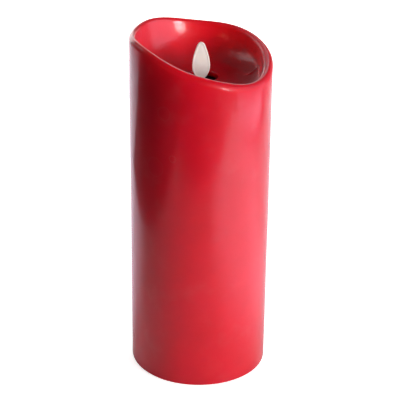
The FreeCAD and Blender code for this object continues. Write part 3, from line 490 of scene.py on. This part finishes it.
def red_wax():
    """Dyed paraffin under a clear skin: deep red with slow clouds, a pale painted highlight along the front
    rim's inner edge, a pale pink painted sheen on the bowl's slumped side, painted light that makes the left
    half of the bowl a lighter red, and hazier towards the foot."""
    f = Finish("red_wax_paraffin", IOR=1.43, Subsurface_Weight=0.85, Subsurface_Radius=(1.0, 0.14, 0.16),
               Subsurface_Scale=0.012, Specular_IOR_Level=0.22, Coat_Weight=1.0, Coat_IOR=1.45,
               Coat_Roughness=0.13)
    bowl = f.painted("bowl_skin")
    colour = f.mix(f.clouds(26, 4, 0.55, low=0.35), srgb(222, 12, 40), srgb(214, 8, 34))
    for place, radius_mm, strength in THUMB_MARKS:
        colour = f.toned(colour, srgb(206, 96, 98), thumb_ring(f, Vector(place) * MM, radius_mm), strength)
    colour = f.toned(colour, srgb(214, 120, 120), f.clouds(17, 3, 0.55, low=0.56, high=0.74), 0.06)
    # painted highlight: the front rim's inner edge is painted pale pink
    colour = f.toned(colour, srgb(255, 180, 192), f.painted("painted_rim_highlight"), 0.95)
    # painted reflection: a pale pink sheen on the slumped side's inner slope, broken into streaky patches
    patchy = f.clouds(5, 4, 0.6, 0.65, 1.0, high=0.65, place=f.stretched(y=0.5))
    colour = f.toned(colour, srgb(255, 165, 178), f.painted("painted_slope_sheen"), patchy)
    # painted light: the left half of the bowl is painted a lighter red, as if more light fell on it
    painted_light_on_left_bowl = f.maths("MULTIPLY", bowl, f.bands(0.012, -0.022, f.axis("X"), smooth=True))
    f.wear("Base Color", f.toned(colour, srgb(255, 60, 78), painted_light_on_left_bowl, 0.5))

    uneven = f.maths("MULTIPLY", f.noise(38, 2, 0.5), 0.035)
    haze = f.bands(0.150, 0.085, f.maths("ADD", f.axis("Z"), uneven), smooth=True)
    smear = f.clouds(5, 5, 0.6, -0.03, 0.05, high=0.8, place=f.stretched(z=0.16))
    wall = f.maths("ADD", f.bands(0, 1, haze, 0.42, 0.52), smear)
    f.wear("Roughness", f.bands(0, 1, bowl, wall, 0.31))
    soft_rim = f.bands(0, 1, f.painted("eased_rim"), 1.0, 0.15)
    f.wear("Coat Weight", f.maths("MULTIPLY", soft_rim, f.bands(0, 1, bowl, 1.0, 0.55)))

    skin = f.bump(f.noise(9, 3, 0.5), 0.10, 0.5)
    skin = f.bump(f.noise(3.5, 3, 0.55, place=f.stretched(z=0.07)), 0.03, 0.6, skin)
    skin = f.bump(f.noise(0.9, 2, 0.5), 0.012, 0.6, skin)
    skin = f.bump(f.clouds(2.6, 4, 0.6, low=0.45, high=0.75), 0.03, 0.4, skin)
    skin = f.bump(f.maths("MULTIPLY", f.noise(1.6, 2, 0.6), bowl), 0.13, 1.0, skin)
    f.wear("Normal", skin)
    f.wear("Coat Normal", skin)
    return f.material


def ivory_flame():
    """Milky moulded flame: warm white in slow clouds, a shade darker along its edges, with a satin grain."""
    f = Finish("ivory_flame_plastic", IOR=1.49, Subsurface_Weight=0.25, Subsurface_Radius=(1.0, 0.8, 0.6),
               Subsurface_Scale=0.002, Specular_IOR_Level=0.4)
    colour = f.mix(f.clouds(3.5, 4, 0.6), srgb(252, 247, 240), srgb(247, 240, 231))
    f.wear("Base Color", f.toned(colour, srgb(244, 238, 230), f.edges(0.5, 0.0, 0.3), 0.5))
    f.wear("Roughness", f.clouds(1.6, 3, 0.5, 0.42, 0.55))
    f.wear("Normal", f.bump(f.noise(0.35, 3, 0.6), 0.015, 0.6))
    return f.material


def moulded_black(name, shade, grain_mm, relief, rough):
    """Black moulded plastic: spark-eroded grain, paler rubbed edges, and dust in slow clouds."""
    f = Finish(name, IOR=1.46, Specular_IOR_Level=0.45)
    colour = f.mix(f.clouds(9, 4, 0.6, low=0.35, high=0.75), shade, scaled(shade, 1.7, 0.002))
    f.wear("Base Color", f.toned(colour, srgb(92, 92, 94), f.edges(0.35), 0.45))
    f.wear("Roughness", f.clouds(1.8, 4, 0.6, rough - 0.08, rough + 0.10))
    grain = f.node("ShaderNodeTexVoronoi", {"Vector": f.place, "Scale": 1 / (grain_mm * MM)})
    f.wear("Normal", f.bump(grain.outputs["Distance"], relief, 0.6))
    return f.material


def bare_metal(name, tint, rough=0.25, brush=(1.0, 1.0, 0.08)):
    """Plated or drawn metal: fine lines along its length, dull patches, and brighter rubbed edges."""
    f = Finish(name, Metallic=1.0)
    colour = f.toned(tint, scaled(tint, 0.62), f.clouds(2.4, 5, 0.6, low=0.45, high=0.75), 0.25)
    f.wear("Base Color", f.toned(colour, (0.92, 0.91, 0.88, 1.0), f.edges(0.15), 0.5))
    lines = f.noise(0.5, 3, 0.6, place=f.stretched(*brush))
    f.wear("Roughness", f.bands(0.3, 0.7, lines, rough - 0.07, rough + 0.10))
    f.wear("Normal", f.bump(lines, 0.006, 0.5))
    return f.material


def cell_jacket():
    """Steel can of a cell in a plain sleeve: scuffed dark body between bare metal ends."""
    f = Finish("cell_jacket_sleeve", IOR=1.5)
    low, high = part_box("cell_left")
    over_foot = f.bands(low.z + 0.0112, low.z + 0.0113, f.axis("Z"))
    under_top = f.bands(high.z - 0.0050, high.z - 0.0051, f.axis("Z"))
    sleeve = f.maths("MULTIPLY", over_foot, under_top)
    scuffs = f.clouds(1.2, 5, 0.65, low=0.5, high=0.8, place=f.stretched(z=0.4))
    dark = f.toned(srgb(38, 40, 44), srgb(84, 86, 90), scuffs, 0.3)
    f.wear("Base Color", f.mix(sleeve, srgb(176, 176, 174), dark))
    f.wear("Metallic", f.maths("SUBTRACT", 1.0, sleeve))
    f.wear("Roughness", f.clouds(2.0, 4, 0.6, 0.22, 0.36))
    f.wear("Normal", f.bump(f.noise(1.4, 3, 0.5), 0.02, 0.4))
    return f.material


def wound_wire(name, tint, pitch_mm=0.24):
    """Enamelled copper: turns side by side, each a low round, with slight changes of tone in slow clouds."""
    f = Finish(name, Metallic=0.85, Coat_Weight=0.6, Coat_Roughness=0.12)
    turns = {"Vector": f.place, "Scale": 0.05 / (pitch_mm * MM), "Distortion": 0.6, "Detail": 1.0,
             "Detail Scale": 2.0}
    wave = f.node("ShaderNodeTexWave", turns, bands_direction="Z").outputs[0]
    dark = scaled(tint, 0.4)
    f.wear("Base Color", f.mix(f.clouds(3.0, 3, 0.5, low=0.4, high=0.8), f.mix(wave, dark, tint), dark))
    f.wear("Roughness", f.clouds(1.0, 3, 0.5, 0.25, 0.38))
    f.wear("Normal", f.bump(wave, 0.08, 0.8))
    return f.material


def circuit_board():
    """Glass-fibre board under green lacquer: faint weave, copper tracks a shade paler, and dull patches."""
    f = Finish("circuit_board_lacquer", IOR=1.5, Coat_Weight=0.4, Coat_Roughness=0.15)
    bricks = {"Vector": f.place, "Scale": 190.0, "Mortar Size": 0.035, "Mortar Smooth": 0.2,
              "Color1": (0, 0, 0, 1), "Color2": (0, 0, 0, 1), "Mortar": (1, 1, 1, 1)}
    tracks = f.node("ShaderNodeTexBrick", bricks).outputs["Color"]
    weave = f.node("ShaderNodeTexChecker", {"Vector": f.place, "Scale": 2200.0}).outputs["Fac"]
    colour = f.mix(tracks, srgb(20, 84, 44), srgb(44, 128, 66))
    colour = f.toned(colour, srgb(90, 140, 80), weave, 0.12)
    f.wear("Base Color", f.toned(colour, srgb(12, 56, 28), f.clouds(5, 4, 0.6, low=0.4, high=0.8), 0.3))
    f.wear("Roughness", f.clouds(1.4, 3, 0.5, 0.28, 0.42))
    f.wear("Normal", f.bump(tracks, 0.03, 0.7))
    return f.material


def sheathed_lead(name, tint):
    """Insulation of a slender lead: soft extruded sheath with dusty, dulled patches and a faint grain."""
    f = Finish(name, IOR=1.5, Specular_IOR_Level=0.45)
    f.wear("Base Color", f.mix(f.clouds(2.2, 4, 0.6, low=0.4, high=0.75), tint, scaled(tint, 0.75, 0.03)))
    f.wear("Roughness", f.clouds(0.8, 3, 0.6, 0.34, 0.5))
    f.wear("Normal", f.bump(f.noise(0.3, 2, 0.5), 0.01, 0.5))
    return f.material


def clear_lamp():
    """Clear LED: faintly amber resin with moulding flow lines."""
    f = Finish("clear_led_resin", IOR=1.5, Transmission_Weight=0.6, Coat_Weight=0.3, Coat_Roughness=0.08)
    flow = f.noise(1.2, 3, 0.5, warp=0.6)
    f.wear("Base Color", f.mix(f.bands(0.35, 0.7, flow), srgb(246, 238, 214), srgb(232, 214, 168)))
    f.wear("Roughness", f.bands(0.3, 0.7, flow, 0.06, 0.18))
    f.wear("Normal", f.bump(f.noise(0.5, 2, 0.5), 0.006, 0.5))
    return f.material


def fired_part(name, tint, rough):
    """Ferrite, ceramic or moulded resin body of a small part: speckled, with chipped paler edges."""
    f = Finish(name, IOR=1.5, Specular_IOR_Level=0.4)
    colour = f.mix(f.clouds(0.35, 3, 0.7, low=0.55, high=0.75), tint, scaled(tint, 2.2, 0.02))
    f.wear("Base Color", f.toned(colour, srgb(128, 126, 122), f.edges(0.2), 0.5))
    f.wear("Roughness", f.clouds(0.9, 3, 0.6, rough - 0.08, rough + 0.10))
    f.wear("Normal", f.bump(f.noise(0.22, 3, 0.6), 0.012, 0.6))
    return f.material


def bobbin_plastic():
    """Natural nylon: cream, slightly clear, with flow clouds and a satin skin."""
    f = Finish("bobbin_nylon", IOR=1.53, Subsurface_Weight=0.2, Subsurface_Radius=(1.0, 0.8, 0.5),
               Subsurface_Scale=0.001)
    f.wear("Base Color", f.mix(f.clouds(3.0, 4, 0.6, low=0.35), srgb(226, 216, 190), srgb(204, 190, 158)))
    f.wear("Roughness", f.clouds(1.0, 3, 0.5, 0.4, 0.55))
    f.wear("Normal", f.bump(f.noise(0.3, 3, 0.6), 0.012, 0.6))
    return f.material


BLACK = (0.012, 0.012, 0.013, 1.0)
finishes = {
    "ivory_flame": ivory_flame(),
    "red_wax": red_wax(),
    "magnet_nickel": bare_metal("magnet_nickel_plate", (0.72, 0.70, 0.66, 1.0), 0.18),
    "steel_wire": bare_metal("pivot_spring_wire", (0.62, 0.62, 0.63, 1.0), 0.26, (0.08, 1.0, 1.0)),
    "black_liner": moulded_black("liner_black_plastic", BLACK, 0.6, 0.02, 0.6),
    "black_base": moulded_black("base_black_plastic", (0.014, 0.014, 0.015, 1.0), 0.5, 0.035, 0.55),
    "black_door": moulded_black("door_black_plastic", (0.018, 0.018, 0.019, 1.0), 0.5, 0.035, 0.52),
    "carrier_black": moulded_black("carrier_black_plastic", BLACK, 0.5, 0.03, 0.58),
    "housing_black": moulded_black("housing_black_plastic", BLACK, 0.5, 0.03, 0.6),
    "slider_plastic": moulded_black("slider_black_plastic", (0.024, 0.024, 0.025, 1.0), 0.4, 0.03, 0.48),
    "lever_plastic": moulded_black("lever_black_plastic", (0.03, 0.03, 0.03, 1.0), 0.35, 0.02, 0.4),
    "chip_black": fired_part("chip_black_resin", (0.02, 0.02, 0.021, 1.0), 0.5),
    "choke_ferrite": fired_part("choke_dark_ferrite", (0.045, 0.043, 0.04, 1.0), 0.62),
    "resistor_ceramic": fired_part("resistor_dark_ceramic", (0.03, 0.03, 0.04, 1.0), 0.4),
    "door_contact_nickel": bare_metal("door_contact_plate", (0.74, 0.72, 0.66, 1.0), 0.22, (1.0, 0.1, 1.0)),
    "contact_nickel": bare_metal("contact_plate", (0.74, 0.72, 0.66, 1.0), 0.22, (0.1, 1.0, 1.0)),
    "spring_steel": bare_metal("contact_spring_plate", (0.66, 0.66, 0.64, 1.0), 0.24, (1.0, 1.0, 0.3)),
    "screw_steel": bare_metal("screw_zinc_plate", (0.60, 0.60, 0.58, 1.0), 0.3),
    "switch_can": bare_metal("switch_tinned_can", (0.64, 0.64, 0.62, 1.0), 0.28, (0.1, 1.0, 1.0)),
    "leg_tin": bare_metal("tinned_legs", (0.72, 0.72, 0.72, 1.0), 0.24),
    "capacitor_can": bare_metal("capacitor_sleeve", (0.16, 0.17, 0.24, 1.0), 0.3),
    "copper_enamel": wound_wire("coil_enamelled_copper", (0.62, 0.22, 0.08, 1.0)),
    "lead_copper": bare_metal("coil_lead_copper", (0.72, 0.34, 0.16, 1.0)),
    "bobbin_plastic": bobbin_plastic(),
    "cell_jacket": cell_jacket(),
    "board_green": circuit_board(),
    "led_clear": clear_lamp(),
    "lead_yellow": sheathed_lead("yellow_lead_sheath", (0.72, 0.50, 0.05, 1.0)),
    "lead_red": sheathed_lead("red_lead_sheath", (0.55, 0.03, 0.03, 1.0)),
    "lead_black": sheathed_lead("black_lead_sheath", (0.02, 0.02, 0.02, 1.0)),
}

# ---- the candle -----------------------------------------------------------------------------------
wax = make_wax_shell()
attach(wax, "candle_body")
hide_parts("wax_shell")
wax.data.materials.append(finishes["red_wax"])

flame = make_flame()
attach(flame, "flame")
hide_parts("flame_paddle")
flame.data.materials.append(finishes["ivory_flame"])

slot_of = {part["node"]: part["material_slot"] for part in frame["record"]["subparts"]}
for node, cad_piece in frame["nodes"].items():
    finish = finishes[slot_of[node]]
    if cad_piece.material_slots:
        for place in cad_piece.material_slots:
            place.material = finish
    else:
        cad_piece.data.materials.append(finish)


# ---- studio, in metres ----------------------------------------------------------------------------
# the lit paper under the candle, seen in the wax's gloss
PAPER_LEFT, PAPER_RIGHT, PAPER_FRONT = -0.255, 0.43, -0.35
FLOOR_HALF = 4.0
FLOOR_GAP = 0.00002


def make_floor(name, half, z):
    """Flat square under the candle. Half is from its middle to an edge."""
    corners = [(-half, -half, z), (half, -half, z), (half, half, z), (-half, half, z)]
    mesh = bpy.data.meshes.new(name)
    mesh.from_pydata(corners, [], [(0, 1, 2, 3)])
    sheet = bpy.data.objects.new(name, mesh)
    bpy.context.scene.collection.objects.link(sheet)
    return sheet


def floor_finish():
    """White paper on a dark table. Looked at straight, it is white everywhere. The wax's gloss sees the
    paper's edges, and on the paper a bright sweep behind the candle, a bright patch on its right and a dim
    rest."""
    f = Finish("studio_floor", Roughness=0.9, Specular_IOR_Level=0.1)
    x, y = f.axis("X"), f.axis("Y")
    soft = 0.008
    from_left = f.bands(PAPER_LEFT - soft, PAPER_LEFT + soft, x)
    from_right = f.bands(PAPER_RIGHT + soft, PAPER_RIGHT - soft, x)
    paper = f.maths("MULTIPLY", from_left, from_right)
    paper = f.maths("MULTIPLY", paper, f.bands(PAPER_FRONT - soft, PAPER_FRONT + soft, y))
    paper = f.maths("MAXIMUM", paper, f.bands(0.235, 0.275, y, smooth=True))
    seen = f.looked_at()
    shade = f.mix(f.maths("MAXIMUM", paper, seen), (0.02, 0.02, 0.02, 1.0), (0.8, 0.8, 0.8, 1.0))
    sweep = f.maths("MULTIPLY", f.bands(-0.02, 0.10, y, smooth=True), f.bands(-0.05, 0.10, x, 0.6, 0.30))
    lit_side = f.maths("MULTIPLY", f.bands(0.04, 0.18, x, smooth=True), f.bands(0.15, 0.0, y, smooth=True))
    patches = f.maths("MAXIMUM", f.maths("MAXIMUM", sweep, lit_side), 0.06)
    f.wear("Base Color", shade)
    f.wear("Emission Strength", f.bands(0, 1, seen, f.maths("MULTIPLY", patches, paper), 0.80))
    f.wear("Emission Color", f.mix(seen, (1.0, 0.86, 1.10, 1.0), (1.0, 1.0, 1.0, 1.0)))
    f.material.cycles.emission_sampling = "NONE"
    return f.material


floor = make_floor("studio_floor", FLOOR_HALF, cad_bounds[0].z - FLOOR_GAP)
floor.data.materials.append(floor_finish())

LAMPS_FACE = Vector((0, 0, 0.15))


def soft_box(name, azimuth, height, distance, width, tall, radiance,
             tint=(1, 1, 1), gloss=True, diffuse=True):
    """Area lamp that faces the candle's axis. The azimuth is in degrees from the front towards the right. A
    lamp without gloss is left out of reflections, and one without diffuse is seen in reflections alone."""
    data = bpy.data.lights.new(name, "AREA")
    data.shape = "RECTANGLE"
    data.size, data.size_y = width, tall
    data.energy = radiance * pi * width * tall
    data.color = tint
    lamp = bpy.data.objects.new(name, data)
    place = Vector((distance * sin(radians(azimuth)), -distance * cos(radians(azimuth)), height))
    lamp.location = place
    lamp.visible_camera = False
    lamp.visible_glossy = gloss
    lamp.visible_diffuse = diffuse
    lamp.rotation_euler = (LAMPS_FACE - place).to_track_quat("-Z", "Y").to_euler()
    bpy.context.scene.collection.objects.link(lamp)
    return lamp


soft_box("front_right_soft_box", 50, 0.30, 1.00, 0.50, 0.44, 13.3, gloss=False)
soft_box("front_right_window", 45, 0.31, 1.00, 0.24, 0.30, 32.0, diffuse=False)
soft_box("right_soft_box", 84, 0.221, 0.42, 0.44, 0.44, 2.3, tint=(1.0, 0.82, 1.06), diffuse=False)
soft_box("left_rear_soft_box", -157, 0.30, 0.80, 0.40, 0.56, 1.4)
soft_box("low_front_fill", -32, 0.015, 0.16, 0.50, 0.05, 0.62, gloss=False)
soft_box("rear_soft_box", 172, 0.44, 0.95, 0.70, 0.34, 6.8, gloss=False)
soft_box("rear_high_panel", -120, 0.80, 0.66, 0.42, 0.42, 2.0, tint=(1.0, 0.84, 0.86), diffuse=False)
soft_box("warm_room_lamp", -42, 0.52, 1.00, 0.12, 0.09, 5.0, tint=(1.0, 0.75, 0.4), diffuse=False)

# one more lamp that lights the flame alone, so that the bowl's red doesn't tint it
flame_lamp = soft_box("flame_soft_box", -20, 0.55, 0.80, 0.30, 0.30, 4.0, tint=(0.66, 1.0, 1.0), gloss=False)
lit_by_it = bpy.data.collections.new("lit_by_flame_lamp")
lit_by_it.objects.link(flame)
flame_lamp.light_linking.receiver_collection = lit_by_it

# the air is white where it is looked at; for the candle it is dim, with a bright backdrop low behind it
world = bpy.data.worlds.new("studio_air")
bpy.context.scene.world = world
world.use_nodes = True
air = Patterns(world.node_tree, "Generated")
behind = air.bands(0.50, 0.78, air.axis("Y"), smooth=True)
low = air.bands(0.25, 0.48, air.axis("Z"), 1.0, 0.06, smooth=True)
white = air.maths("MAXIMUM", air.looked_at(), air.maths("MULTIPLY", behind, low))
background = world.node_tree.nodes["Background"]
background.inputs["Color"].default_value = (1, 1, 1, 1)
world.node_tree.links.new(air.bands(0, 1, white, 0.11, 1.0), background.inputs["Strength"])

# ---- camera ---------------------------------------------------------------------------------------
CAMERA_PLACE = Vector((0, -0.78441, 0.46989))
PAN, TILT, ROLL = radians(0.0196), radians(24.50), radians(0.612)
forward = Vector((sin(PAN) * cos(TILT), cos(PAN) * cos(TILT), -sin(TILT)))
right = Vector((cos(PAN), -sin(PAN), 0))
up = right.cross(forward)
rolled_right = right * cos(ROLL) + up * sin(ROLL)
rolled_up = up * cos(ROLL) - right * sin(ROLL)
turned = Matrix((rolled_right, rolled_up, -forward)).transposed()

camera_data = bpy.data.cameras.new("camera")
camera_data.sensor_width = 36.0
camera_data.lens = 120.5
camera_data.clip_start, camera_data.clip_end = 0.05, 20.0
camera = bpy.data.objects.new("camera", camera_data)
camera.matrix_world = Matrix.Translation(CAMERA_PLACE) @ turned.to_4x4()
bpy.context.scene.collection.objects.link(camera)
bpy.context.scene.camera = camera
bpy.context.scene.view_settings.view_transform = "Standard"
